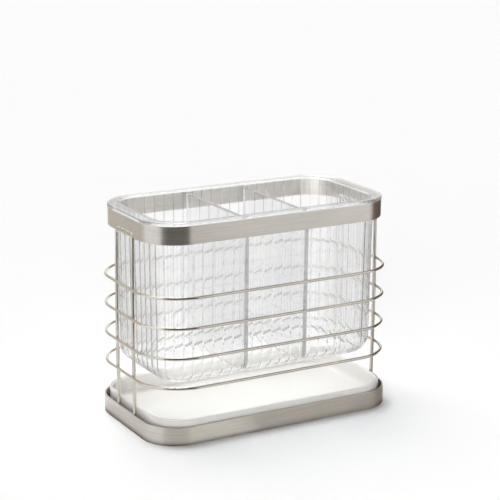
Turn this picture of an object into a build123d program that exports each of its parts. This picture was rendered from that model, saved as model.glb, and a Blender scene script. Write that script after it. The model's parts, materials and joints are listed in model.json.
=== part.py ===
"""Cutlery holder: a clear fluted insert hangs in a steel wire frame, above a drip tray.

Millimetres, +Z up, X along the long side. The origin is on the surface that the
holder stands on, under its middle.
"""
import os
from math import cos, radians, sin, sqrt

from build123d import *

os.makedirs("parts", exist_ok=True)

# Strip and welds of the frame
strip_thickness = 1.0
weld_sink = 0.15

# Bottom band, outer sizes
base_length = 180.0
base_width = 100.0
base_corner = 24.0
base_height = 12.3

# Top band
rim_width = 90.0
rim_corner = 25.5
rim_low = 129.5
rim_height = 12.1

# End wires: an upside-down U at each end, its legs bowed outwards a little
leg_diameter = 2.4
leg_bow = 0.65
left_leg_spacing = 24.0
right_leg_spacing = 42.5
bend_radius = 3.0
foot_gap = 1.5
crossbar_rise = 1.1
notch_gap = 1.0

# Ring wires round the legs, measured to the middle of the wire
ring_diameter = 2.0
ring_width = 99.0
ring_corner = 30.0
ring_low = 37.4
ring_pitch = 19.65
ring_count = 4
ring_weld_depth = 0.65

# Cross wires that carry the tray
tray_wire_diameter = 2.4
tray_wire_gap = 0.4
tray_wire_spacing = 100.0
tray_seat_gap = 0.2

# Drip tray
tray_clearance = 0.4
tray_wall = 2.6
tray_floor = 2.2
tray_rise = 4.2
tray_outer_fillet = 3.0
tray_inner_fillet = 4.0
tray_rim_fillet = 1.1

# Insert: the gaps are from the inside of the top band to the flutes' ridges, just under the rim
insert_end_gap = 5.65
insert_side_gap = 1.5
insert_corner_step = 3.5
insert_wall = 2.0
insert_low = 36.0
insert_draft = 1.2
flute_pitch = 7.2
flute_depth = 0.5
lip_radius = 11.5
lip_angle = 75.0
lip_steps = 3
rim_overhang = 0.3
rim_plate = 2.0
rim_edge_fillet = 0.8
divider_offset = 22.0
divider_thickness = 3.0
divider_drop = 3.0

# Places that follow from the sizes above
leg_radius = leg_diameter / 2
ring_radius = ring_diameter / 2
leg_x = base_length / 2 - strip_thickness - leg_radius + weld_sink
rim_length = 2 * leg_x + strip_thickness
rim_top = rim_low + rim_height
crossbar_height = rim_low + crossbar_rise
ring_half_length = leg_x + leg_bow + leg_radius + ring_radius - ring_weld_depth
tray_wire_top = tray_wire_gap + tray_wire_diameter
tray_seat = tray_wire_top + tray_seat_gap


def closed_strip(length, width, corner, low, height):
    """Sketch-built band: a thin strip on edge, closed to a rounded rectangle."""
    with BuildPart() as band:
        with BuildSketch(Plane.XY.offset(low)):
            RectangleRounded(length, width, corner)
            offset(amount=-strip_thickness, mode=Mode.SUBTRACT)
        extrude(amount=height)
    return band


# Bottom band
bottom_band = closed_strip(base_length, base_width, base_corner, 0, base_height)
bottom_band.part.label = "bottom_band"
export_step(bottom_band.part, "parts/bottom_band.step")


# Top band, with a notch at each end whose lower corners meet the bends of the end wire
bend_low = crossbar_height - bend_radius
bend_reach = sqrt((bend_radius + leg_radius) ** 2 - (rim_low - bend_low) ** 2)
notch_height = crossbar_rise + leg_radius + notch_gap


def notch_width(leg_spacing):
    """Width between the notch's sides, which the wire's bends run into by the weld sink."""
    return leg_spacing - 2 * bend_radius + 2 * bend_reach - 2 * weld_sink


with BuildPart() as top_band:
    add(closed_strip(rim_length, rim_width, rim_corner, rim_low, rim_height).part)
    for side, leg_spacing in ((-1, left_leg_spacing), (1, right_leg_spacing)):
        with BuildSketch(Plane.YZ.offset(side * leg_x)):
            with Locations((0, rim_low)):
                Rectangle(notch_width(leg_spacing), 2 * notch_height)
        extrude(amount=2 * strip_thickness, both=True, mode=Mode.SUBTRACT)
top_band.part.label = "top_band"
export_step(top_band.part, "parts/top_band.step")


# End wires
leg_middle = (foot_gap + crossbar_height) / 2
leg_half = (crossbar_height - foot_gap) / 2
bow_share = 0.6
bow_apex = leg_bow / (1 - bow_share / 2)
bow_radius = bow_share * leg_half**2 / bow_apex


def end_wire(side, leg_spacing):
    """Foot, bowed leg, crossbar, bowed leg, foot, in one round wire."""
    foot = side * leg_x
    knee = side * (leg_x + bow_apex)
    y = leg_spacing / 2
    with BuildPart() as wire:
        with BuildLine() as route:
            FilletPolyline(
                (foot, -y, foot_gap),
                (knee, -y, leg_middle),
                (foot, -y, crossbar_height),
                (foot, y, crossbar_height),
                (knee, y, leg_middle),
                (foot, y, foot_gap),
                radius=[bow_radius, bend_radius, bend_radius, bow_radius],
            )
        with BuildSketch(Plane(origin=route.line @ 0, z_dir=route.line % 0)):
            Circle(leg_radius)
        sweep(path=route.line)
    return wire


for name, side, leg_spacing in (("left", -1, left_leg_spacing), ("right", 1, right_leg_spacing)):
    wire = end_wire(side, leg_spacing)
    wire.part.label = f"{name}_end_wire"
    export_step(wire.part, f"parts/{name}_end_wire.step")


# Ring wires, numbered from the top
ring_x = ring_half_length
ring_y = ring_width / 2
for index in range(ring_count):
    height = ring_low + ring_pitch * (ring_count - 1 - index)
    with BuildPart() as ring_wire:
        with BuildLine(Plane.XY.offset(height)) as route:
            FilletPolyline(
                (ring_x, -ring_y),
                (ring_x, ring_y),
                (-ring_x, ring_y),
                (-ring_x, -ring_y),
                radius=ring_corner,
                close=True,
            )
        with BuildSketch(Plane(origin=route.line @ 0, z_dir=route.line % 0)):
            Circle(ring_radius)
        sweep(path=route.line)
    ring_wire.part.label = f"ring_wire_{index + 1}"
    export_step(ring_wire.part, f"parts/ring_wire_{index + 1}.step")


# Cross wires, from side to side of the bottom band under the tray
tray_wire_reach = base_width / 2 - strip_thickness + weld_sink
for index, x in enumerate((-tray_wire_spacing / 2, tray_wire_spacing / 2)):
    with BuildPart() as tray_wire:
        with BuildSketch(Plane.XZ):
            with Locations((x, tray_wire_top - tray_wire_diameter / 2)):
                Circle(tray_wire_diameter / 2)
        extrude(amount=tray_wire_reach, both=True)
    tray_wire.part.label = f"tray_wire_{index + 1}"
    export_step(tray_wire.part, f"parts/tray_wire_{index + 1}.step")


# Drip tray: fills the bottom band but for its clearance, inside the end wires' feet
tray_length = 2 * (leg_x - leg_radius - tray_clearance)
tray_width = base_width - 2 * strip_thickness - 2 * tray_clearance
tray_corner = base_corner - strip_thickness - tray_clearance
tray_top = base_height + tray_rise
with BuildPart() as drip_tray:
    with BuildSketch(Plane.XY.offset(tray_seat)):
        RectangleRounded(tray_length, tray_width, tray_corner)
    extrude(amount=tray_top - tray_seat)
    fillet(drip_tray.faces().sort_by(Axis.Z)[0].edges(), tray_outer_fillet)
    with BuildSketch(Plane.XY.offset(tray_seat + tray_floor)):
        RectangleRounded(tray_length - 2 * tray_wall, tray_width - 2 * tray_wall, tray_corner - tray_wall)
    extrude(amount=tray_top - tray_seat - tray_floor, mode=Mode.SUBTRACT)
    tray_floor_face = drip_tray.faces().filter_by(Axis.Z).sort_by(Axis.Z)[1]
    fillet(tray_floor_face.edges(), tray_inner_fillet)
    fillet(drip_tray.faces().sort_by(Axis.Z)[-1].edges(), tray_rim_fillet)
drip_tray.part.label = "drip_tray"
export_step(drip_tray.part, "parts/drip_tray.step")


# Insert: how its outline is made
insert_length = rim_length - 2 * (strip_thickness + insert_end_gap)
insert_width = rim_width - 2 * (strip_thickness + insert_side_gap)
insert_corner = rim_corner - strip_thickness - insert_corner_step
insert_top = rim_top + rim_plate
lip_top = insert_low + lip_radius * sin(radians(lip_angle))
straight_x = insert_length / 2 - insert_corner
straight_y = insert_width / 2 - insert_corner
side_flutes = round(2 * straight_x / flute_pitch)
end_flutes = round(2 * straight_y / flute_pitch)
corner_flutes = round(radians(90) * insert_corner / flute_pitch)


def smooth_level(inset, height):
    """Rounded rectangle at this distance inside the insert's widest outline, at one height."""
    with BuildSketch(Plane.XY.offset(height)) as level:
        length = insert_length - 2 * inset
        width = insert_width - 2 * inset
        RectangleRounded(length, width, insert_corner - inset)
    return level.sketch


def flute_stations(inset):
    """Points round that outline and their outward directions, two to each flute."""
    stations = []
    radius = insert_corner - inset
    corners = ((1, -1), (1, 1), (-1, 1), (-1, -1))
    for quarter, (side_x, side_y) in enumerate(corners):
        centre = Vector(side_x * straight_x, side_y * straight_y)
        for half in range(2 * corner_flutes):
            outward = Vector(1, 0).rotate(Axis.Z, 90 * (quarter - 1 + half / (2 * corner_flutes)))
            stations.append((centre + outward * radius, outward))
        outward = Vector(1, 0).rotate(Axis.Z, 90 * quarter)
        along = outward.rotate(Axis.Z, 90)
        count, run = (side_flutes, 2 * straight_x) if quarter % 2 else (end_flutes, 2 * straight_y)
        for half in range(2 * count):
            stations.append((centre + outward * radius + along * run * half / (2 * count), outward))
    return stations


def fluted_level(inset, height):
    """The same outline as a row of shallow hollow flutes that meet in ridges."""
    stations = flute_stations(inset)
    ridges = [point for point, outward in stations[0::2]]
    hollows = [point - outward * flute_depth for point, outward in stations[1::2]]
    with BuildSketch(Plane.XY.offset(height)) as level:
        with BuildLine():
            for index, hollow in enumerate(hollows):
                ThreePointArc(ridges[index], hollow, ridges[(index + 1) % len(ridges)])
        make_face()
    return level.sketch


def lip_levels(make_level, radius, inset):
    """Levels down the rounded lower lip, whose arc has this radius."""
    levels = []
    for step in range(lip_steps + 1):
        angle = radians(lip_angle * step / lip_steps)
        levels.append(make_level(inset + radius * (1 - cos(angle)), lip_top - radius * sin(angle)))
    return levels


# Insert: the space inside it, open at the top and at the bottom
inner_radius = lip_radius - insert_wall
mouth_height = lip_top - inner_radius * sin(radians(lip_angle))
inner_wall = [smooth_level(insert_wall, insert_top), smooth_level(insert_draft + insert_wall, lip_top)]
inner_lip = lip_levels(smooth_level, inner_radius, insert_draft + insert_wall)
with BuildPart() as inside:
    loft(inner_wall, ruled=True)
    loft(inner_lip)
    mouth = inside.faces().sort_by(Axis.Z)[0]
    extrude(mouth, amount=mouth_height - insert_low)

# Insert: the dividers, cut to the space inside
divider_top = insert_top - divider_drop
with BuildPart() as dividers:
    with BuildSketch(Plane.XY.offset(mouth_height)):
        with Locations((-divider_offset, 0), (divider_offset, 0)):
            Rectangle(divider_thickness, insert_width)
    extrude(amount=divider_top - mouth_height)
    add(inside.part, mode=Mode.INTERSECT)

# Insert: fluted wall, lip, rim that rests on the top band, and dividers
outer_wall = [fluted_level(0, rim_top), fluted_level(insert_draft, lip_top)]
outer_lip = lip_levels(fluted_level, lip_radius, insert_draft)
with BuildPart() as insert:
    loft(outer_wall, ruled=True)
    loft(outer_lip)
    with BuildSketch(Plane.XY.offset(rim_top)):
        RectangleRounded(rim_length, rim_width, rim_corner)
        offset(amount=rim_overhang)
    extrude(amount=rim_plate)
    add(inside.part, mode=Mode.SUBTRACT)
    add(dividers.part)
    rim_face = insert.faces().filter_by(Axis.Z).sort_by(Axis.Z)[-1]
    fillet(rim_face.outer_wire().edges(), rim_edge_fillet)
insert.part.label = "insert"
export_step(insert.part, "parts/insert.step")
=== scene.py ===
"""Cutlery holder: steel frame, drip tray and clear fluted insert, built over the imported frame.

Metres, +Z up, +X along the long side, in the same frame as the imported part.
"""

import json
from math import atan, atan2, cos, radians, sin, sqrt, tan

import bmesh
import bpy
from bpy.props import FloatProperty, FloatVectorProperty, IntProperty, PointerProperty
from mathutils import Matrix, Vector


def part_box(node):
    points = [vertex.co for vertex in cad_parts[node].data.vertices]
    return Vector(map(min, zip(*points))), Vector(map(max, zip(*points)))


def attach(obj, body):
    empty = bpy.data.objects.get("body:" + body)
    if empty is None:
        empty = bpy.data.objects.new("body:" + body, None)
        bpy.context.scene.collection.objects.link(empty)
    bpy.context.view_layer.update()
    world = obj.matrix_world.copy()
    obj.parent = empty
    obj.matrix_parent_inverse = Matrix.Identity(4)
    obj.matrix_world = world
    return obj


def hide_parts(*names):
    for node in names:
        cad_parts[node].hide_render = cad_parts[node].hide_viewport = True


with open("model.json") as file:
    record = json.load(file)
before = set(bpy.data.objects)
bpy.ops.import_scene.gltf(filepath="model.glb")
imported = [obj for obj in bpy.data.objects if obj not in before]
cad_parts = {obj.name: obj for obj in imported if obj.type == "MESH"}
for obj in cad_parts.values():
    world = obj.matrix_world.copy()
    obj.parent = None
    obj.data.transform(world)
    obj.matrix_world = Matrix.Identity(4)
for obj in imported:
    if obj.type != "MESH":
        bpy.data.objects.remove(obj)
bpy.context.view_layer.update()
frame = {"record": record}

bl_info = {
    "name": "Cutlery holder",
    "version": (1, 0, 0),
    "blender": (4, 5, 0),
    "location": "3D View > Sidebar > Holder",
    "description": "Builds the pieces, finishes and stage of a cutlery holder over its packed frame",
    "category": "Mesh",
}

MM = 0.001
X = Vector((1, 0, 0))
Y = Vector((0, 1, 0))
Z = Vector((0, 0, 1))


def length_of(name, description, millimetres):
    """A length that shows in the panel in scene units."""
    return FloatProperty(
        name=name, description=description, default=millimetres * MM, min=0, unit="LENGTH", precision=5,
    )


def colour_of(name, description, colour):
    """A colour that shows in the panel as a swatch."""
    return FloatVectorProperty(
        name=name, description=description, default=colour, size=3, min=0, max=1, subtype="COLOR",
    )


class HolderSizes(bpy.types.PropertyGroup):
    """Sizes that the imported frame's boxes don't give."""

    strip_thickness: length_of("Strip thickness", "Thickness of both steel bands", 1.0)
    strip_edge: length_of("Strip edge", "Rounding of the bands' long edges", 0.38)
    base_corner: length_of("Base corner", "Outer corner radius of the bottom band", 24.0)
    rim_corner: length_of("Rim corner", "Outer corner radius of the top band", 25.5)
    notch_height: length_of("Notch height", "How far the notches go up into the top band", 3.3)
    leg_diameter: length_of("Leg wire", "Diameter of the end wires", 2.4)
    leg_bow: length_of("Leg bow", "How far the legs bow outwards at mid height", 0.65)
    bow_share: FloatProperty(
        name="Bow share", description="Share of each leg that is curved", default=0.6, min=0.1, max=0.9,
    )
    foot_gap: length_of("Foot gap", "From the surface to the ends of the legs", 1.5)
    crossbar_rise: length_of("Crossbar rise", "From the top band's lower edge to the crossbar's middle", 1.1)
    bend_radius: length_of("Bend radius", "Middle radius of the bends between legs and crossbar", 3.0)
    weld_sink: length_of("Weld sink", "How far welded pieces run into each other", 0.15)
    ring_diameter: length_of("Ring wire", "Diameter of the four ring wires", 2.0)
    ring_corner: length_of("Ring corner", "Middle radius of the rings' corners", 30.0)
    tray_corner: length_of("Tray corner", "Outer corner radius of the drip tray", 22.6)
    tray_wall: length_of("Tray wall", "Thickness of the tray's wall", 2.6)
    tray_floor: length_of("Tray floor", "Thickness of the tray's floor", 2.2)
    tray_outer_round: length_of("Tray foot round", "Rounding of the tray's lower edge", 3.0)
    tray_inner_round: length_of("Tray floor round", "Rounding between the tray's floor and wall", 4.0)
    tray_rim_round: length_of("Tray rim round", "Rounding of the tray's rim", 1.1)
    insert_end_gap: length_of("Insert end gap", "From the top band's inside to the insert, at its ends", 5.65)
    insert_side_gap: length_of("Insert side gap", "From the top band's inside to the insert, at its sides", 1.5)
    insert_corner: length_of("Insert corner", "Corner radius of the insert over its ridges", 21.0)
    insert_wall: length_of("Insert wall", "Thickness of the insert's wall at its ridges", 2.0)
    insert_draft: length_of("Insert draft", "How much the insert's wall comes in down to its lip", 1.2)
    flute_depth: length_of("Flute depth", "Depth of the hollow flutes between their ridges", 0.2)
    ridge_height: length_of("Ridge height", "How far the narrow ridges stand out of the flutes", 0.3)
    lip_radius: length_of("Lip radius", "Outer radius of the insert's lower lip", 11.5)
    rim_round: length_of("Rim round", "Rounding of the rim's upper edges", 0.8)
    divider_offset: length_of("Divider offset", "From the middle to the middle of each divider", 22.0)
    divider_thickness: length_of("Divider thickness", "Thickness of the dividers", 3.0)
    divider_drop: length_of("Divider drop", "How far the dividers stay under the rim", 3.0)
    side_flutes: IntProperty(name="Side flutes", description="Flutes on each long side", default=17, min=1)
    end_flutes: IntProperty(name="End flutes", description="Flutes on each end", default=6, min=1)
    corner_flutes: IntProperty(name="Corner flutes", description="Flutes round each corner", default=5, min=1)


class HolderColours(bpy.types.PropertyGroup):
    """Colours of the finishes and of the studio."""

    band: colour_of("Band steel", "Brushed steel of the bands", (0.73, 0.697, 0.652))
    wire: colour_of("Wire steel", "Satin steel of the wires", (0.70, 0.665, 0.61))
    tray: colour_of("Tray white", "Glossy white of the drip tray", (0.82, 0.807, 0.775))
    insert: colour_of("Insert tint", "What the clear plastic lets through", (0.996, 0.998, 1.0))
    floor: colour_of("Floor", "Floor of the studio", (0.97, 0.97, 0.97))


# Materials


COLOUR_A, COLOUR_B, COLOUR_RESULT = 6, 7, 2  # sockets of the Mix node that hold colours


class Finish:
    """A node material whose shader is a Principled BSDF."""

    def __init__(self, name):
        self.material = bpy.data.materials.new(name)
        self.material.use_nodes = True
        self.tree = self.material.node_tree
        self.shader = self.tree.nodes["Principled BSDF"]
        self.place = self.node("TexCoord").outputs["Object"]

    def node(self, kind, **settings):
        """Adds a node, with its sockets and properties set by name."""
        made = self.tree.nodes.new("ShaderNode" + kind)
        for name, value in settings.items():
            socket = made.inputs.get(name.replace("_", " "))
            if socket is not None:
                socket.default_value = value
            else:
                setattr(made, name, value)
        return made

    def link(self, source, target):
        self.tree.links.new(source, target)

    def noise(self, scale, stretch=(1, 1, 1), **settings):
        """Noise on Object coordinates; stretch makes it longer along an axis."""
        mapping = self.node("Mapping", Scale=tuple(1 / s for s in stretch))
        self.link(self.place, mapping.inputs["Vector"])
        texture = self.node("TexNoise", Scale=scale, **settings)
        self.link(mapping.outputs["Vector"], texture.inputs["Vector"])
        return texture.outputs["Fac"]

    def span(self, source, low, high, start=0.3, end=0.7):
        """The source's values from start to end, moved to low to high."""
        span = self.node("MapRange", From_Min=start, From_Max=end, To_Min=low, To_Max=high)
        self.link(source, span.inputs["Value"])
        return span.outputs["Result"]

    def shades(self, source, dark, light):
        """Colour that goes from dark to light with the source."""
        mix = self.node("Mix", data_type="RGBA")
        self.link(source, mix.inputs["Factor"])
        mix.inputs[COLOUR_A].default_value = (*dark, 1)
        mix.inputs[COLOUR_B].default_value = (*light, 1)
        return mix.outputs[COLOUR_RESULT]

    def relief(self, source, depth, strength):
        """Bump of this depth in metres on the shader's normal."""
        bump = self.node("Bump", Distance=depth, Strength=strength)
        self.link(source, bump.inputs["Height"])
        self.link(bump.outputs["Normal"], self.shader.inputs["Normal"])


def scaled(colour, factor):
    """A colour made lighter or darker."""
    return tuple(min(1, channel * factor) for channel in colour)


def brushed_band_steel(colours):
    """Stainless strip, brushed along its length."""
    finish = Finish("brushed_band_steel")
    shader = finish.shader
    shader.inputs["Metallic"].default_value = 1
    shader.inputs["Anisotropic"].default_value = 0.8
    shader.inputs["Anisotropic Rotation"].default_value = 0.25
    along = finish.node("Tangent", direction_type="RADIAL", axis="Z")
    finish.link(along.outputs["Tangent"], shader.inputs["Tangent"])
    brushing = finish.noise(620, stretch=(30, 30, 1), Detail=6, Roughness=0.75)
    clouds = finish.noise(28, stretch=(1, 1, 0.4), Detail=3)
    mixed = finish.node("Math", operation="ADD")
    finish.link(finish.span(brushing, 0, 0.75), mixed.inputs[0])
    finish.link(finish.span(clouds, 0, 0.25), mixed.inputs[1])
    tone = finish.shades(mixed.outputs[0], dark=scaled(colours.band, 0.8), light=scaled(colours.band, 1.14))
    finish.link(tone, shader.inputs["Base Color"])
    finish.link(finish.span(brushing, low=0.34, high=0.46), shader.inputs["Roughness"])
    finish.relief(brushing, depth=0.00004, strength=0.5)
    return finish.material


def satin_wire_steel(colours):
    """Stainless wire, electropolished to a satin shine."""
    finish = Finish("satin_wire_steel")
    shader = finish.shader
    shader.inputs["Metallic"].default_value = 1
    grain = finish.noise(1500, Detail=3)
    clouds = finish.noise(60, Detail=2)
    even = finish.span(clouds, 0, 1)
    tone = finish.shades(even, dark=scaled(colours.wire, 0.92), light=scaled(colours.wire, 1.08))
    finish.link(tone, shader.inputs["Base Color"])
    finish.link(finish.span(grain, low=0.06, high=0.11), shader.inputs["Roughness"])
    finish.relief(grain, depth=0.000005, strength=0.2)
    return finish.material


def glossy_tray_white(colours):
    """Moulded white plastic with a gloss."""
    finish = Finish("glossy_tray_white")
    shader = finish.shader
    shader.inputs["IOR"].default_value = 1.5
    clouds = finish.noise(18, Detail=2)
    ripple = finish.noise(140, Detail=1)
    even = finish.span(clouds, 0, 1)
    tone = finish.shades(even, dark=scaled(colours.tray, 0.97), light=scaled(colours.tray, 0.99))
    finish.link(tone, shader.inputs["Base Color"])
    finish.link(finish.span(clouds, low=0.1, high=0.16), shader.inputs["Roughness"])
    finish.relief(ripple, depth=0.00002, strength=0.25)
    return finish.material


def clear_insert_plastic(colours):
    """Clear moulded plastic, which lets the lamps shine through."""
    finish = Finish("clear_insert_plastic")
    shader = finish.shader
    shader.inputs["IOR"].default_value = 1.49
    shader.inputs["Transmission Weight"].default_value = 1
    shader.inputs["Alpha"].default_value = 0.85
    flow = finish.noise(70, stretch=(1, 1, 3), Detail=2)
    tone = finish.shades(finish.span(flow, 0, 1), dark=scaled(colours.insert, 0.99), light=colours.insert)
    finish.link(tone, shader.inputs["Base Color"])
    finish.link(finish.span(flow, low=0.015, high=0.04), shader.inputs["Roughness"])
    finish.relief(flow, depth=0.00001, strength=0.3)
    lamps = finish.node("LightPath").outputs["Is Shadow Ray"]
    passing = finish.node("BsdfTransparent", Color=(0.84, 0.85, 0.86, 1))
    both = finish.node("MixShader")
    finish.link(lamps, both.inputs[0])
    finish.link(shader.outputs[0], both.inputs[1])
    finish.link(passing.outputs[0], both.inputs[2])
    finish.link(both.outputs[0], finish.tree.nodes["Material Output"].inputs["Surface"])
    return finish.material


def finish_for(maker):
    """The material that this function makes, made once."""
    name = maker.__name__
    return bpy.data.materials.get(name) or maker(bpy.context.scene.holder_colours)


# Modelling


MERGE_DISTANCE = 2e-6
SAME_PLACE = 1e-6
WIRE_SIDES = 20
CORNER_STEPS = 28


def body_of(node):
    """Name of the CAD body that holds this node."""
    bodies = frame["record"]["behaviour"]["bodies"]
    return next(name for name, nodes in bodies.items() if node in nodes)


def add_piece(name, bm, maker, node, sharp=30):
    """Makes a mesh object that rides on its CAD node's body and stands for the node."""
    bmesh.ops.remove_doubles(bm, verts=bm.verts, dist=MERGE_DISTANCE)
    bmesh.ops.recalc_face_normals(bm, faces=bm.faces)
    mesh = bpy.data.meshes.new(name)
    bm.to_mesh(mesh)
    bm.free()
    mesh.shade_smooth()
    mesh.set_sharp_from_angle(angle=radians(sharp))
    mesh.materials.append(finish_for(maker))
    piece = bpy.data.objects.new(name, mesh)
    bpy.context.scene.collection.objects.link(piece)
    flat = piece.modifiers.new("keep_flats_flat", "WEIGHTED_NORMAL")
    flat.keep_sharp = True
    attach(piece, body_of(node))
    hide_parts(node)
    return piece


def of_kind(geometry, kind):
    """Only the points, the edges or the faces among what an operator gives."""
    return [item for item in geometry if isinstance(item, kind)]


def with_edges(faces):
    """The faces with their edges and corners, as the operators want a region."""
    return list({item for face in faces for item in (face, *face.edges, *face.verts)})


def outline(bm, half_length, half_width, corner, height, corner_steps):
    """One flat face with the outline of a rounded rectangle."""
    verts = bmesh.ops.create_grid(bm, x_segments=1, y_segments=1, size=1)["verts"]
    bmesh.ops.scale(bm, vec=(half_length, half_width, 1), verts=verts)
    bmesh.ops.translate(bm, vec=(0, 0, height), verts=verts)
    made = bmesh.ops.bevel(
        bm, geom=verts, offset=corner, offset_type="OFFSET", affect="VERTICES",
        segments=corner_steps, profile=0.5, material=-1, clamp_overlap=False,
    )
    return made["verts"][0].link_faces[0]


def raise_faces(bm, faces, rise):
    """Extrudes flat faces straight up or down, and gives the moved faces."""
    made = bmesh.ops.extrude_face_region(bm, geom=with_edges(faces))["geom"]
    bmesh.ops.translate(bm, vec=(0, 0, rise), verts=of_kind(made, bmesh.types.BMVert))
    return of_kind(made, bmesh.types.BMFace)


def round_edges(bm, edges, radius, steps):
    """Rounds these edges, with this many faces across each."""
    bmesh.ops.bevel(
        bm, geom=edges, offset=radius, offset_type="OFFSET", affect="EDGES",
        segments=steps, profile=0.5, material=-1, clamp_overlap=False,
    )


def level_edges(bm, height):
    """Edges that lie flat at this height."""
    return [edge for edge in bm.edges if all(abs(vert.co.z - height) < SAME_PLACE for vert in edge.verts)]


def crisp_edges(bm, angle):
    """Edges where two faces meet at more than this angle."""
    return [edge for edge in bm.edges if edge.is_manifold and edge.calc_face_angle() > radians(angle)]


def closed_loop(edge):
    """The edges of the bare closed loop that this edge is in."""
    loop, vert = [edge], edge.verts[1]
    while vert != edge.verts[0]:
        loop.append(next(item for item in vert.link_edges if item != loop[-1]))
        vert = loop[-1].other_vert(vert)
    return loop


class WireRun:
    """A round wire drawn along straights and bends, as it is fed through a bender."""

    def __init__(self, bm, place, heading, diameter):
        self.bm, self.place, self.heading = bm, Vector(place), Vector(heading).normalized()
        turn = Z.rotation_difference(self.heading).to_matrix().to_4x4()
        circle = bmesh.ops.create_circle(
            bm, cap_ends=False, segments=WIRE_SIDES, radius=diameter / 2,
            matrix=Matrix.Translation(self.place) @ turn,
        )
        self.edges = list({edge for vert in circle["verts"] for edge in vert.link_edges})

    def straight(self, length):
        """Draws the wire on straight ahead."""
        made = bmesh.ops.extrude_edge_only(self.bm, edges=self.edges)["geom"]
        ends = of_kind(made, bmesh.types.BMVert)
        bmesh.ops.translate(self.bm, vec=self.heading * length, verts=ends)
        self.edges = [edge for edge in of_kind(made, bmesh.types.BMEdge) if set(ends).issuperset(edge.verts)]
        self.place = self.place + self.heading * length

    def bend(self, axis, radius, angle, steps):
        """Draws the wire on round an axis to its side."""
        centre = self.place + axis.cross(self.heading) * radius
        turned = bmesh.ops.spin(
            self.bm, geom=self.edges, cent=centre, axis=axis, angle=angle, steps=steps, use_merge=False,
        )
        self.edges = of_kind(turned["geom_last"], bmesh.types.BMEdge)
        rotation = Matrix.Rotation(angle, 3, axis)
        self.place = centre + rotation @ (self.place - centre)
        self.heading = rotation @ self.heading

    def close(self):
        """A flat face over the wire's end."""
        bmesh.ops.contextual_create(self.bm, geom=self.edges)


# Pieces


BOW_STEPS = 6
BEND_STEPS = 10
RING_CORNER_STEPS = 24


def steel_band(sizes, box, corner, notches=()):
    """Closed strip on edge; each notch is a side and half a width, cut upwards into that end."""
    bm = bmesh.new()
    low, high = box
    face = outline(bm, high[0], high[1], corner, low[2], CORNER_STEPS)
    bmesh.ops.inset_region(
        bm, faces=[face], thickness=sizes.strip_thickness, use_even_offset=True, use_boundary=True,
    )
    bmesh.ops.delete(bm, geom=[face], context="FACES_ONLY")
    end_x = high[0] - sizes.strip_thickness
    for side, half in notches:
        for cut in (-half, half):
            end = [face for face in bm.faces if face.calc_center_median().x * side > end_x]
            bmesh.ops.bisect_plane(bm, geom=with_edges(end), plane_co=(0, cut, 0), plane_no=Y)
    strip = list(bm.faces)
    rise = high[2] - low[2]
    if notches:
        bmesh.ops.translate(bm, vec=(0, 0, sizes.notch_height), verts=bm.verts)
        rise = rise - sizes.notch_height
    raise_faces(bm, strip, rise)
    if notches:
        notched = [
            face for face in strip for side, half in notches
            if face.calc_center_median().x * side > end_x and abs(face.calc_center_median().y) < half
        ]
        raise_faces(bm, [face for face in strip if face not in notched], -sizes.notch_height)
    long_edges = level_edges(bm, low[2]) + level_edges(bm, high[2])
    rounded = [edge for edge in crisp_edges(bm, angle=60) if edge in long_edges]
    round_edges(bm, rounded, sizes.strip_edge, steps=3)
    return bm


def end_wire(sizes, side, spacing, leg_x, crossbar_height):
    """Foot, bowed leg, crossbar, bowed leg and foot in one wire."""
    bm = bmesh.new()
    leg_half = (crossbar_height - sizes.foot_gap) / 2
    apex = sizes.leg_bow / (1 - sizes.bow_share / 2)
    lean = atan(apex / leg_half)
    bow_radius = sizes.bow_share * leg_half**2 / apex
    slope = leg_half / cos(lean) - bow_radius * tan(lean)
    rising = Vector((side * sin(lean), 0, cos(lean)))
    run = WireRun(bm, (side * leg_x, -spacing / 2, sizes.foot_gap), rising, sizes.leg_diameter)
    run.close()
    run.straight(slope)
    run.bend(-side * Y, bow_radius, 2 * lean, BOW_STEPS)
    run.straight(slope - sizes.bend_radius)
    run.bend(run.heading.cross(Y), sizes.bend_radius, radians(90), BEND_STEPS)
    run.straight(spacing - 2 * sizes.bend_radius)
    falling = Vector((side * sin(lean), 0, -cos(lean)))
    run.bend(Y.cross(falling), sizes.bend_radius, radians(90), BEND_STEPS)
    run.straight(slope - sizes.bend_radius)
    run.bend(side * Y, bow_radius, 2 * lean, BOW_STEPS)
    run.straight(slope)
    run.close()
    return bm


def ring_wire(sizes, box):
    """Closed wire round the legs."""
    bm = bmesh.new()
    low, high = box
    reach_x = high[0] - sizes.ring_diameter / 2
    reach_y = high[1] - sizes.ring_diameter / 2
    straight_x = reach_x - sizes.ring_corner
    straight_y = reach_y - sizes.ring_corner
    run = WireRun(bm, (-straight_x, -reach_y, (low[2] + high[2]) / 2), X, sizes.ring_diameter)
    for straight in (straight_x, straight_y, straight_x, straight_y):
        run.straight(2 * straight)
        run.bend(Z, sizes.ring_corner, radians(90), RING_CORNER_STEPS)
    return bm


def drip_tray(sizes, box):
    """Shallow tray, rounded along its foot, floor and rim."""
    bm = bmesh.new()
    low, high = box
    foot = outline(bm, high[0], high[1], sizes.tray_corner, low[2], CORNER_STEPS)
    top = raise_faces(bm, [foot], high[2] - low[2])
    bmesh.ops.inset_region(bm, faces=top, thickness=sizes.tray_wall, use_even_offset=True)
    floor_height = low[2] + sizes.tray_floor
    raise_faces(bm, top, floor_height - high[2])
    round_edges(bm, level_edges(bm, floor_height), sizes.tray_inner_round, steps=8)
    round_edges(bm, level_edges(bm, low[2]), sizes.tray_outer_round, steps=6)
    round_edges(bm, level_edges(bm, high[2]), sizes.tray_rim_round, steps=5)
    return bm


FLUTE_STEPS = 12
LIP_STEPS = 6
RIM_STEPS = 5
DIVIDER_LIP_STEPS = 8
LIP_ANGLE = radians(75)
LOOP_STEP = 0.03 * MM  # bridging pairs two loops at one height the wrong way round


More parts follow.
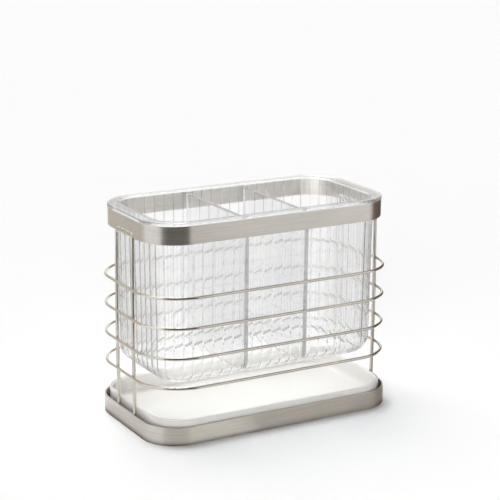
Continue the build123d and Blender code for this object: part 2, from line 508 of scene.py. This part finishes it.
class InsertForm:
    """Sizes of the insert that follow from the top band and its own box."""

    def __init__(self, sizes):
        rim_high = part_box("top_band")[1]
        low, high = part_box("insert")
        self.sizes = sizes
        self.half_length = rim_high[0] - sizes.strip_thickness - sizes.insert_end_gap
        self.half_width = rim_high[1] - sizes.strip_thickness - sizes.insert_side_gap
        self.core_length = self.half_length - sizes.insert_corner
        self.core_width = self.half_width - sizes.insert_corner
        self.low, self.top, self.shoulder = low[2], high[2], rim_high[2]
        self.lip_top = self.low + sizes.lip_radius * sin(LIP_ANGLE)
        self.inner_lip = sizes.lip_radius - sizes.insert_wall
        self.rim_half_length, self.rim_half_width = high[0], high[1]
        self.overhang = high[0] - rim_high[0]

    def inner_inset(self, height):
        """From the widest outline to the inner wall at this height above the lip."""
        share = (self.top - height) / (self.top - self.lip_top)
        return self.sizes.insert_wall + self.sizes.insert_draft * share

    def flute_share(self, point):
        """Where a point of the outline lies within its flute, from 0 to 1."""
        sizes = self.sizes
        past_x, past_y = abs(point.x) - self.core_length, abs(point.y) - self.core_width
        if past_x <= SAME_PLACE:
            return (point.x / self.core_length + 1) / 2 * sizes.side_flutes % 1
        if past_y <= SAME_PLACE:
            return (point.y / self.core_width + 1) / 2 * sizes.end_flutes % 1
        return atan2(past_y, past_x) / radians(90) * sizes.corner_flutes % 1

    def flute_drop(self, across):
        """Depth of the flute at this distance from its ridge, given as a share of the flute's width."""
        hollow = self.sizes.flute_depth * (1 - (1 - 2 * across) ** 2)
        return hollow + self.sizes.ridge_height * min(1, across * FLUTE_STEPS)

    def press_flutes(self, verts):
        """Moves the outline's points inwards between the ridges of the flutes."""
        for vert in verts:
            nearest = Vector((
                max(-self.core_length, min(self.core_length, vert.co.x)),
                max(-self.core_width, min(self.core_width, vert.co.y)),
                vert.co.z,
            ))
            share = self.flute_share(vert.co)
            vert.co -= (vert.co - nearest).normalized() * self.flute_drop(min(share, 1 - share))

    def loop(self, bm, half_length, half_width, corner, height, fluted=False):
        """Edges round the insert, with as many points at every level."""
        sizes = self.sizes
        face = outline(bm, half_length, half_width, corner, height, sizes.corner_flutes * FLUTE_STEPS)
        sides = sorted(face.edges, key=lambda edge: edge.calc_length())[-4:]
        bmesh.ops.delete(bm, geom=[face], context="FACES_ONLY")
        for pair, flutes in ((sides[:2], sizes.end_flutes), (sides[2:], sizes.side_flutes)):
            cut = bmesh.ops.subdivide_edges(bm, edges=pair, cuts=flutes * FLUTE_STEPS - 1)["geom_inner"]
        edges = closed_loop(of_kind(cut, bmesh.types.BMVert)[0].link_edges[0])
        if fluted:
            self.press_flutes({vert for edge in edges for vert in edge.verts})
        return edges

    def wall_loop(self, bm, inset, height, fluted=False):
        """Edges of the wall, this far inside its widest outline."""
        corner = self.sizes.insert_corner - inset
        return self.loop(bm, self.half_length - inset, self.half_width - inset, corner, height, fluted)

    def rim_loop(self, bm, inset, height):
        """Edges of the rim, this far inside its own outline."""
        corner = self.sizes.rim_corner + self.overhang - inset
        return self.loop(bm, self.rim_half_length - inset, self.rim_half_width - inset, corner, height)


def insert_shell(sizes):
    """Fluted wall, lip, mouth, inner wall and rim of the insert, as one closed skin."""
    form = InsertForm(sizes)
    bm = bmesh.new()
    angles = [LIP_ANGLE * step / LIP_STEPS for step in range(LIP_STEPS + 1)]
    inner_draft = sizes.insert_draft + sizes.insert_wall
    loops = [form.wall_loop(bm, 0, form.shoulder - LOOP_STEP, fluted=True)]
    for angle in angles:
        inset = sizes.insert_draft + sizes.lip_radius * (1 - cos(angle))
        loops.append(form.wall_loop(bm, inset, form.lip_top - sizes.lip_radius * sin(angle), fluted=True))
    mouth_inset = inner_draft + form.inner_lip * (1 - cos(LIP_ANGLE))
    loops.append(form.wall_loop(bm, mouth_inset, form.low + LOOP_STEP))
    for angle in reversed(angles):
        inset = inner_draft + form.inner_lip * (1 - cos(angle))
        loops.append(form.wall_loop(bm, inset, form.lip_top - form.inner_lip * sin(angle)))
    edge = sizes.rim_round / 2
    eased = edge * 0.3  # where the middle of the rounding lies
    loops.append(form.wall_loop(bm, sizes.insert_wall, form.top - edge))
    loops.append(form.wall_loop(bm, sizes.insert_wall - eased, form.top - eased))
    loops.append(form.wall_loop(bm, sizes.insert_wall - edge, form.top - LOOP_STEP))
    for step in range(RIM_STEPS + 1):
        angle = radians(90 * step / RIM_STEPS)
        inset = sizes.rim_round * (1 - sin(angle))
        loops.append(form.rim_loop(bm, inset, form.top - sizes.rim_round * (1 - cos(angle))))
    loops.append(form.rim_loop(bm, 0, form.shoulder))
    for first, second in zip(loops, loops[1:] + loops[:1]):
        bmesh.ops.bridge_loops(bm, edges=first + second)
    return bm


def divider(sizes, middle):
    """Upright plate across the insert, cut to its inner wall and lip."""
    form = InsertForm(sizes)
    bm = bmesh.new()
    x = middle - sizes.divider_thickness / 2
    top = form.top - sizes.divider_drop
    top_y = form.half_width - form.inner_inset(top)
    lip_y = form.half_width - sizes.insert_draft - sizes.insert_wall
    centre_y = lip_y - form.inner_lip
    mouth_y = centre_y + form.inner_lip * cos(LIP_ANGLE)

    def draw_on(verts, vec):
        made = bmesh.ops.extrude_vert_indiv(bm, verts=verts)["verts"]
        bmesh.ops.translate(bm, vec=vec, verts=made)
        return made

    def turn(verts, centre):
        turned = bmesh.ops.spin(
            bm, geom=verts, cent=centre, axis=X, angle=LIP_ANGLE, steps=DIVIDER_LIP_STEPS, use_merge=False,
        )
        return of_kind(turned["geom_last"], bmesh.types.BMVert)

    end = [bmesh.ops.create_vert(bm, co=(x, -top_y, top))["vert"][0]]
    end = draw_on(end, (0, top_y - lip_y, form.lip_top - top))
    end = turn(end, (x, -centre_y, form.lip_top))
    end = draw_on(end, (0, 2 * mouth_y, 0))
    end = turn(end, (x, centre_y, form.lip_top))
    draw_on(end, (0, top_y - lip_y, top - form.lip_top))
    bmesh.ops.contextual_create(bm, geom=list(bm.edges))
    made = bmesh.ops.extrude_face_region(bm, geom=with_edges(bm.faces))["geom"]
    bmesh.ops.translate(bm, vec=(sizes.divider_thickness, 0, 0), verts=of_kind(made, bmesh.types.BMVert))
    ridge = [edge for edge in level_edges(bm, top) if abs((edge.verts[0].co - edge.verts[1].co).y) > top_y]
    round_edges(bm, ridge, sizes.rim_round / 2, steps=3)
    return bm


# Operators


LEFT, RIGHT = -1, 1
END_WIRES = ((LEFT, "left_end_wire"), (RIGHT, "right_end_wire"))


class BuildOperator(bpy.types.Operator):
    """Shared by the operators that build pieces."""

    bl_options = {"REGISTER", "UNDO"}

    @property
    def sizes(self):
        return bpy.context.scene.holder_sizes


class HOLDER_OT_bands(BuildOperator):
    """Build both brushed steel bands"""

    bl_idname = "holder.bands"
    bl_label = "Steel bands"

    def execute(self, context):
        sizes = self.sizes
        bm = steel_band(sizes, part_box("bottom_band"), sizes.base_corner)
        add_piece("bottom_band_brushed", bm, brushed_band_steel, "bottom_band")
        drop = sizes.bend_radius - sizes.crossbar_rise
        reach = sqrt((sizes.bend_radius + sizes.leg_diameter / 2) ** 2 - drop**2)
        notches = []
        for side, wire in END_WIRES:
            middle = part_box(wire)[1][1] - sizes.leg_diameter / 2
            notches.append((side, middle - sizes.bend_radius + reach - sizes.weld_sink))
        bm = steel_band(sizes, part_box("top_band"), sizes.rim_corner, notches)
        add_piece("top_band_brushed", bm, brushed_band_steel, "top_band")
        return {"FINISHED"}


class HOLDER_OT_end_wires(BuildOperator):
    """Build the bent wire at each end"""

    bl_idname = "holder.end_wires"
    bl_label = "End wires"

    def execute(self, context):
        sizes = self.sizes
        base_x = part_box("bottom_band")[1][0]
        leg_x = base_x - sizes.strip_thickness - sizes.leg_diameter / 2 + sizes.weld_sink
        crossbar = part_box("top_band")[0][2] + sizes.crossbar_rise
        for side, node in END_WIRES:
            spacing = 2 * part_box(node)[1][1] - sizes.leg_diameter
            bm = end_wire(sizes, side, spacing, leg_x, crossbar)
            add_piece(node + "_satin", bm, satin_wire_steel, node)
        return {"FINISHED"}


class HOLDER_OT_ring_wires(BuildOperator):
    """Build the four closed wires round the legs"""

    bl_idname = "holder.ring_wires"
    bl_label = "Ring wires"

    def execute(self, context):
        for number in (1, 2, 3, 4):
            node = f"ring_wire_{number}"
            bm = ring_wire(self.sizes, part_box(node))
            add_piece(node + "_satin", bm, satin_wire_steel, node)
        return {"FINISHED"}


class HOLDER_OT_tray_wires(BuildOperator):
    """Build the two straight wires that carry the tray"""

    bl_idname = "holder.tray_wires"
    bl_label = "Tray wires"

    def execute(self, context):
        for number in (1, 2):
            node = f"tray_wire_{number}"
            low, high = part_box(node)
            bm = bmesh.new()
            start = ((low[0] + high[0]) / 2, low[1], (low[2] + high[2]) / 2)
            run = WireRun(bm, start, Y, high[2] - low[2])
            run.close()
            run.straight(high[1] - low[1])
            run.close()
            add_piece(node + "_satin", bm, satin_wire_steel, node)
        return {"FINISHED"}


class HOLDER_OT_drip_tray(BuildOperator):
    """Build the white drip tray"""

    bl_idname = "holder.drip_tray"
    bl_label = "Drip tray"

    def execute(self, context):
        bm = drip_tray(self.sizes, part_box("drip_tray"))
        add_piece("drip_tray_glossy", bm, glossy_tray_white, "drip_tray", sharp=50)
        return {"FINISHED"}


class HOLDER_OT_insert(BuildOperator):
    """Build the clear fluted insert and its dividers"""

    bl_idname = "holder.insert"
    bl_label = "Insert"

    def execute(self, context):
        sizes = self.sizes
        bm = insert_shell(sizes)
        add_piece("insert_shell", bm, clear_insert_plastic, "insert", sharp=20)
        for name, side in (("left", LEFT), ("right", RIGHT)):
            bm = divider(sizes, side * sizes.divider_offset)
            add_piece(f"insert_{name}_divider", bm, clear_insert_plastic, "insert")
        return {"FINISHED"}


class HOLDER_OT_stage(BuildOperator):
    """Build the floor, lamps, world and camera"""

    bl_idname = "holder.stage"
    bl_label = "Studio"

    def execute(self, context):
        colours = context.scene.holder_colours
        lay_floor(colours)
        light_world()
        for lamp in LAMPS:
            hang_lamp(*lamp)
        for flag in FLAGS:
            hang_flag(*flag)
        # painted contact shadow under the bottom band, seen only in the steel
        lay_foot_flag()
        place_camera()
        context.scene.view_settings.view_transform = "Standard"
        return {"FINISHED"}


# Studio


FLOOR_GLOW = 0.05
WORLD_LIGHT = 0.09
LAMPS = (
    # name, place it shines from, strength, spread in degrees
    ("skylight", (-0.05, 0.6, 1.25), 2.8, 46),
    ("front_fill", (-0.75, -1.0, 0.2), 1.85, 44),
)

# Profiles of the flags, as (radius, height) points round the holder
OVER_FLOOR = 0.0002
NEAR_FLOOR = ((0.055, OVER_FLOOR), (0.25, OVER_FLOOR))
UPRIGHT = ((0.16, OVER_FLOOR), (0.45, OVER_FLOOR), (0.45, 0.7))
FAR_UPRIGHT = ((0.25, OVER_FLOOR), (0.45, OVER_FLOOR), (0.45, 0.7))
FAR_LOW = ((0.25, OVER_FLOOR), (0.45, OVER_FLOOR), (0.45, 0.45))
FAR_HIGH = ((0.45, 0.45), (0.45, 0.8), (0.3, 0.8))
CEILING = ((0.3, 0.8), (0.02, 0.8))
FLAGS = (
    # name, first and last azimuth in degrees from the front to the left, profile, shade, rays that see it
    ("dark_flag_front", -10, 63, FAR_UPRIGHT, (0.038, 0.034, 0.032), "glossy"),
    ("light_flag_right_front", -65, -10, FAR_LOW, (0.91, 0.91, 0.91), "glossy"),
    ("upper_flag_right_front", -80, 63, FAR_HIGH, (0.07, 0.066, 0.062), "glossy"),
    ("ceiling_flag", -180, 180, CEILING, (0.07, 0.066, 0.062), "glossy"),
    # Painted floor shade round the holder's foot: sheets that only the steel mirrors, lighter on the left and
    # darker to the right
    ("painted_floor_shade_left_end", 62, 112, NEAR_FLOOR, (0.82, 0.815, 0.795), "glossy"),
    ("painted_floor_shade_left", 15, 62, NEAR_FLOOR, (0.84, 0.82, 0.78), "glossy"),
    ("painted_floor_shade_middle", -15, 15, NEAR_FLOOR, (0.47, 0.445, 0.405), "glossy"),
    ("painted_floor_shade_right", -45, -15, NEAR_FLOOR, (0.42, 0.39, 0.35), "glossy"),
    ("painted_floor_shade_far_right", -80, -45, NEAR_FLOOR, (0.34, 0.31, 0.28), "glossy"),
    ("dark_flag_right", -122, -65, FAR_UPRIGHT, (0.14, 0.1, 0.08), "glossy"),
    ("grey_flag_back_left", 112, 172, UPRIGHT, (0.62, 0.595, 0.555), "glossy"),
    ("edge_flag_left", 120, 183, UPRIGHT, (0.75, 0.75, 0.76), "transmission"),
    ("edge_flag_right", 238, 290, UPRIGHT, (0.72, 0.72, 0.73), "transmission"),
)
FLAG_STEPS = 24

# Painted contact shadow: a dark sheet right under the band, which only the steel mirrors; half length, half
# width, corner and height
FOOT = (0.0928, 0.0528, 0.0268, 0.0003)
PAINTED_CONTACT_SHADOW_TONE = (0.03, 0.027, 0.025)

# The camera: angles in degrees, its distance from the point it looks at, and that point's place in the picture
AZIMUTH, ELEVATION, ROLL = -29.4994, 14.9583, 0.3442
TARGET = (0.0033365, 0, 0.1031162)
DISTANCE = 1.0426449
PICTURE_SIDE = 500
TARGET_PIXEL = (250.1472, 256.4177)
PIXELS_PER_METRE = 1504.2
SENSOR_WIDTH = 36


def seen_or_mirrored(tree):
    """1 for rays from the camera and for what shows in metal or through clear plastic."""
    path = tree.nodes.new("ShaderNodeLightPath")
    result = path.outputs["Is Camera Ray"]
    for name in ("Is Glossy Ray", "Is Transmission Ray"):
        either = tree.nodes.new("ShaderNodeMath")
        either.operation = "MAXIMUM"
        tree.links.new(result, either.inputs[0])
        tree.links.new(path.outputs[name], either.inputs[1])
        result = either.outputs[0]
    return result


def stage_object(name, bm):
    """A mesh of the studio, which is no part of the holder."""
    mesh = bpy.data.meshes.new(name)
    bm.to_mesh(mesh)
    bm.free()
    made = bpy.data.objects.new(name, mesh)
    bpy.context.scene.collection.objects.link(made)
    return made


def stage_material(name):
    """An empty node tree with its output, for the studio's surfaces."""
    material = bpy.data.materials.new(name)
    material.use_nodes = True
    tree = material.node_tree
    tree.nodes.clear()
    return material, tree, tree.nodes.new("ShaderNodeOutputMaterial")


def lay_floor(colours):
    """Pale floor that takes shadows, and glows a little so that it looks white where it is lit."""
    bm = bmesh.new()
    bmesh.ops.create_circle(bm, cap_ends=True, segments=64, radius=6)
    floor = stage_object("studio_floor", bm)
    material, tree, output = stage_material("studio_floor")
    matt = tree.nodes.new("ShaderNodeBsdfDiffuse")
    matt.inputs["Color"].default_value = (*colours.floor, 1)
    white = tree.nodes.new("ShaderNodeEmission")
    share = tree.nodes.new("ShaderNodeMath")
    share.operation = "MULTIPLY"
    share.inputs[1].default_value = FLOOR_GLOW
    tree.links.new(seen_or_mirrored(tree), share.inputs[0])
    mix = tree.nodes.new("ShaderNodeMixShader")
    tree.links.new(share.outputs[0], mix.inputs[0])
    tree.links.new(matt.outputs[0], mix.inputs[1])
    tree.links.new(white.outputs[0], mix.inputs[2])
    tree.links.new(mix.outputs[0], output.inputs["Surface"])
    floor.data.materials.append(material)


def light_world():
    """Soft even light, and white behind everything."""
    world = bpy.data.worlds.new("studio")
    bpy.context.scene.world = world
    world.use_nodes = True
    tree = world.node_tree
    tree.nodes.clear()
    soft = tree.nodes.new("ShaderNodeBackground")
    soft.inputs["Color"].default_value = (1, 1, 1, 1)
    soft.inputs["Strength"].default_value = WORLD_LIGHT
    white = tree.nodes.new("ShaderNodeBackground")
    white.inputs["Color"].default_value = (1, 1, 1, 1)
    mix = tree.nodes.new("ShaderNodeMixShader")
    tree.links.new(seen_or_mirrored(tree), mix.inputs[0])
    tree.links.new(soft.outputs[0], mix.inputs[1])
    tree.links.new(white.outputs[0], mix.inputs[2])
    output = tree.nodes.new("ShaderNodeOutputWorld")
    tree.links.new(mix.outputs[0], output.inputs["Surface"])


def hang_lamp(name, place, strength, spread):
    """Wide soft lamp that shines from this place to the middle; the steel mirrors the flags instead of it."""
    light = bpy.data.lights.new(name, "SUN")
    light.energy = strength
    light.angle = radians(spread)
    lamp = bpy.data.objects.new(name, light)
    lamp.location = place
    lamp.rotation_euler = (-Vector(place)).to_track_quat("-Z", "Y").to_euler()
    lamp.visible_glossy = False
    bpy.context.scene.collection.objects.link(lamp)


def hang_flag(name, first, last, profile, shade, rays):
    """Curved flag round the holder, which only what the steel mirrors or the clear plastic bends can show."""
    bm = bmesh.new()
    outwards = Matrix.Rotation(radians(-first), 3, "Z") @ -Y
    places = [outwards * radius + Z * height for radius, height in profile]
    edge = bmesh.ops.create_vert(bm, co=places[0])["vert"]
    for start, end in zip(places, places[1:]):
        edge = bmesh.ops.extrude_vert_indiv(bm, verts=edge)["verts"]
        bmesh.ops.translate(bm, vec=end - start, verts=edge)
    bmesh.ops.spin(
        bm, geom=list(bm.verts) + list(bm.edges), cent=(0, 0, 0), axis=Z,
        angle=radians(first - last), steps=FLAG_STEPS, use_merge=False,
    )
    paint_flag(stage_object(name, bm), shade, rays)


def lay_foot_flag():
    """Painted contact shadow: a dark sheet right under the band, which its rounded foot mirrors as a dark line.
    """
    bm = bmesh.new()
    outline(bm, *FOOT, corner_steps=12)
    paint_flag(stage_object("painted_contact_shadow", bm), PAINTED_CONTACT_SHADOW_TONE, "glossy")


def paint_flag(flag, shade, rays):
    """Plain tone for the rays that see this flag; it hides nothing from the lamps."""
    material, tree, output = stage_material(flag.name)
    tone = tree.nodes.new("ShaderNodeEmission")
    tone.inputs["Color"].default_value = (*shade, 1)
    tree.links.new(tone.outputs[0], output.inputs["Surface"])
    flag.data.materials.append(material)
    flag.visible_camera = flag.visible_diffuse = flag.visible_shadow = False
    flag.visible_glossy = rays == "glossy"
    flag.visible_transmission = rays == "transmission"


def place_camera():
    """Seen from the front left and a little from above, as for a catalogue."""
    azimuth, elevation, roll = radians(AZIMUTH), radians(ELEVATION), radians(ROLL)
    back = Vector((sin(azimuth) * cos(elevation), -cos(azimuth) * cos(elevation), sin(elevation)))
    right = (-back).cross(Z).normalized()
    up = right.cross(-back)
    right, up = cos(roll) * right + sin(roll) * up, cos(roll) * up - sin(roll) * right
    camera = bpy.data.cameras.new("catalogue_camera")
    camera.sensor_width = SENSOR_WIDTH
    camera.lens = PIXELS_PER_METRE * DISTANCE / PICTURE_SIDE * SENSOR_WIDTH
    camera.shift_x = 0.5 - TARGET_PIXEL[0] / PICTURE_SIDE
    camera.shift_y = TARGET_PIXEL[1] / PICTURE_SIDE - 0.5
    holder = bpy.data.objects.new("catalogue_camera", camera)
    place = Vector(TARGET) + back * DISTANCE
    holder.matrix_world = Matrix.Translation(place) @ Matrix((right, up, back)).transposed().to_4x4()
    bpy.context.scene.collection.objects.link(holder)
    bpy.context.scene.camera = holder


class HOLDER_PT_build(bpy.types.Panel):
    """Sidebar panel with the sizes, colours and build steps."""

    bl_label = "Cutlery holder"
    bl_idname = "HOLDER_PT_build"
    bl_space_type = "VIEW_3D"
    bl_region_type = "UI"
    bl_category = "Holder"

    def draw(self, context):
        layout = self.layout
        for step in BUILD_STEPS:
            layout.operator(step.bl_idname)
        for group in (context.scene.holder_sizes, context.scene.holder_colours):
            box = layout.box()
            for name in group.bl_rna.properties.keys():
                if name not in ("rna_type", "name"):
                    box.prop(group, name)


BUILD_STEPS = (
    HOLDER_OT_bands,
    HOLDER_OT_end_wires,
    HOLDER_OT_ring_wires,
    HOLDER_OT_tray_wires,
    HOLDER_OT_drip_tray,
    HOLDER_OT_insert,
    HOLDER_OT_stage,
)
CLASSES = (HolderSizes, HolderColours, *BUILD_STEPS, HOLDER_PT_build)


def register():
    for item in CLASSES:
        bpy.utils.register_class(item)
    bpy.types.Scene.holder_sizes = PointerProperty(type=HolderSizes)
    bpy.types.Scene.holder_colours = PointerProperty(type=HolderColours)


def unregister():
    del bpy.types.Scene.holder_colours
    del bpy.types.Scene.holder_sizes
    for item in reversed(CLASSES):
        bpy.utils.unregister_class(item)


def main():
    register()
    bpy.ops.holder.bands()
    bpy.ops.holder.end_wires()
    bpy.ops.holder.ring_wires()
    bpy.ops.holder.tray_wires()
    bpy.ops.holder.drip_tray()
    bpy.ops.holder.insert()
    bpy.ops.holder.stage()


if __name__ == "__main__":
    main()
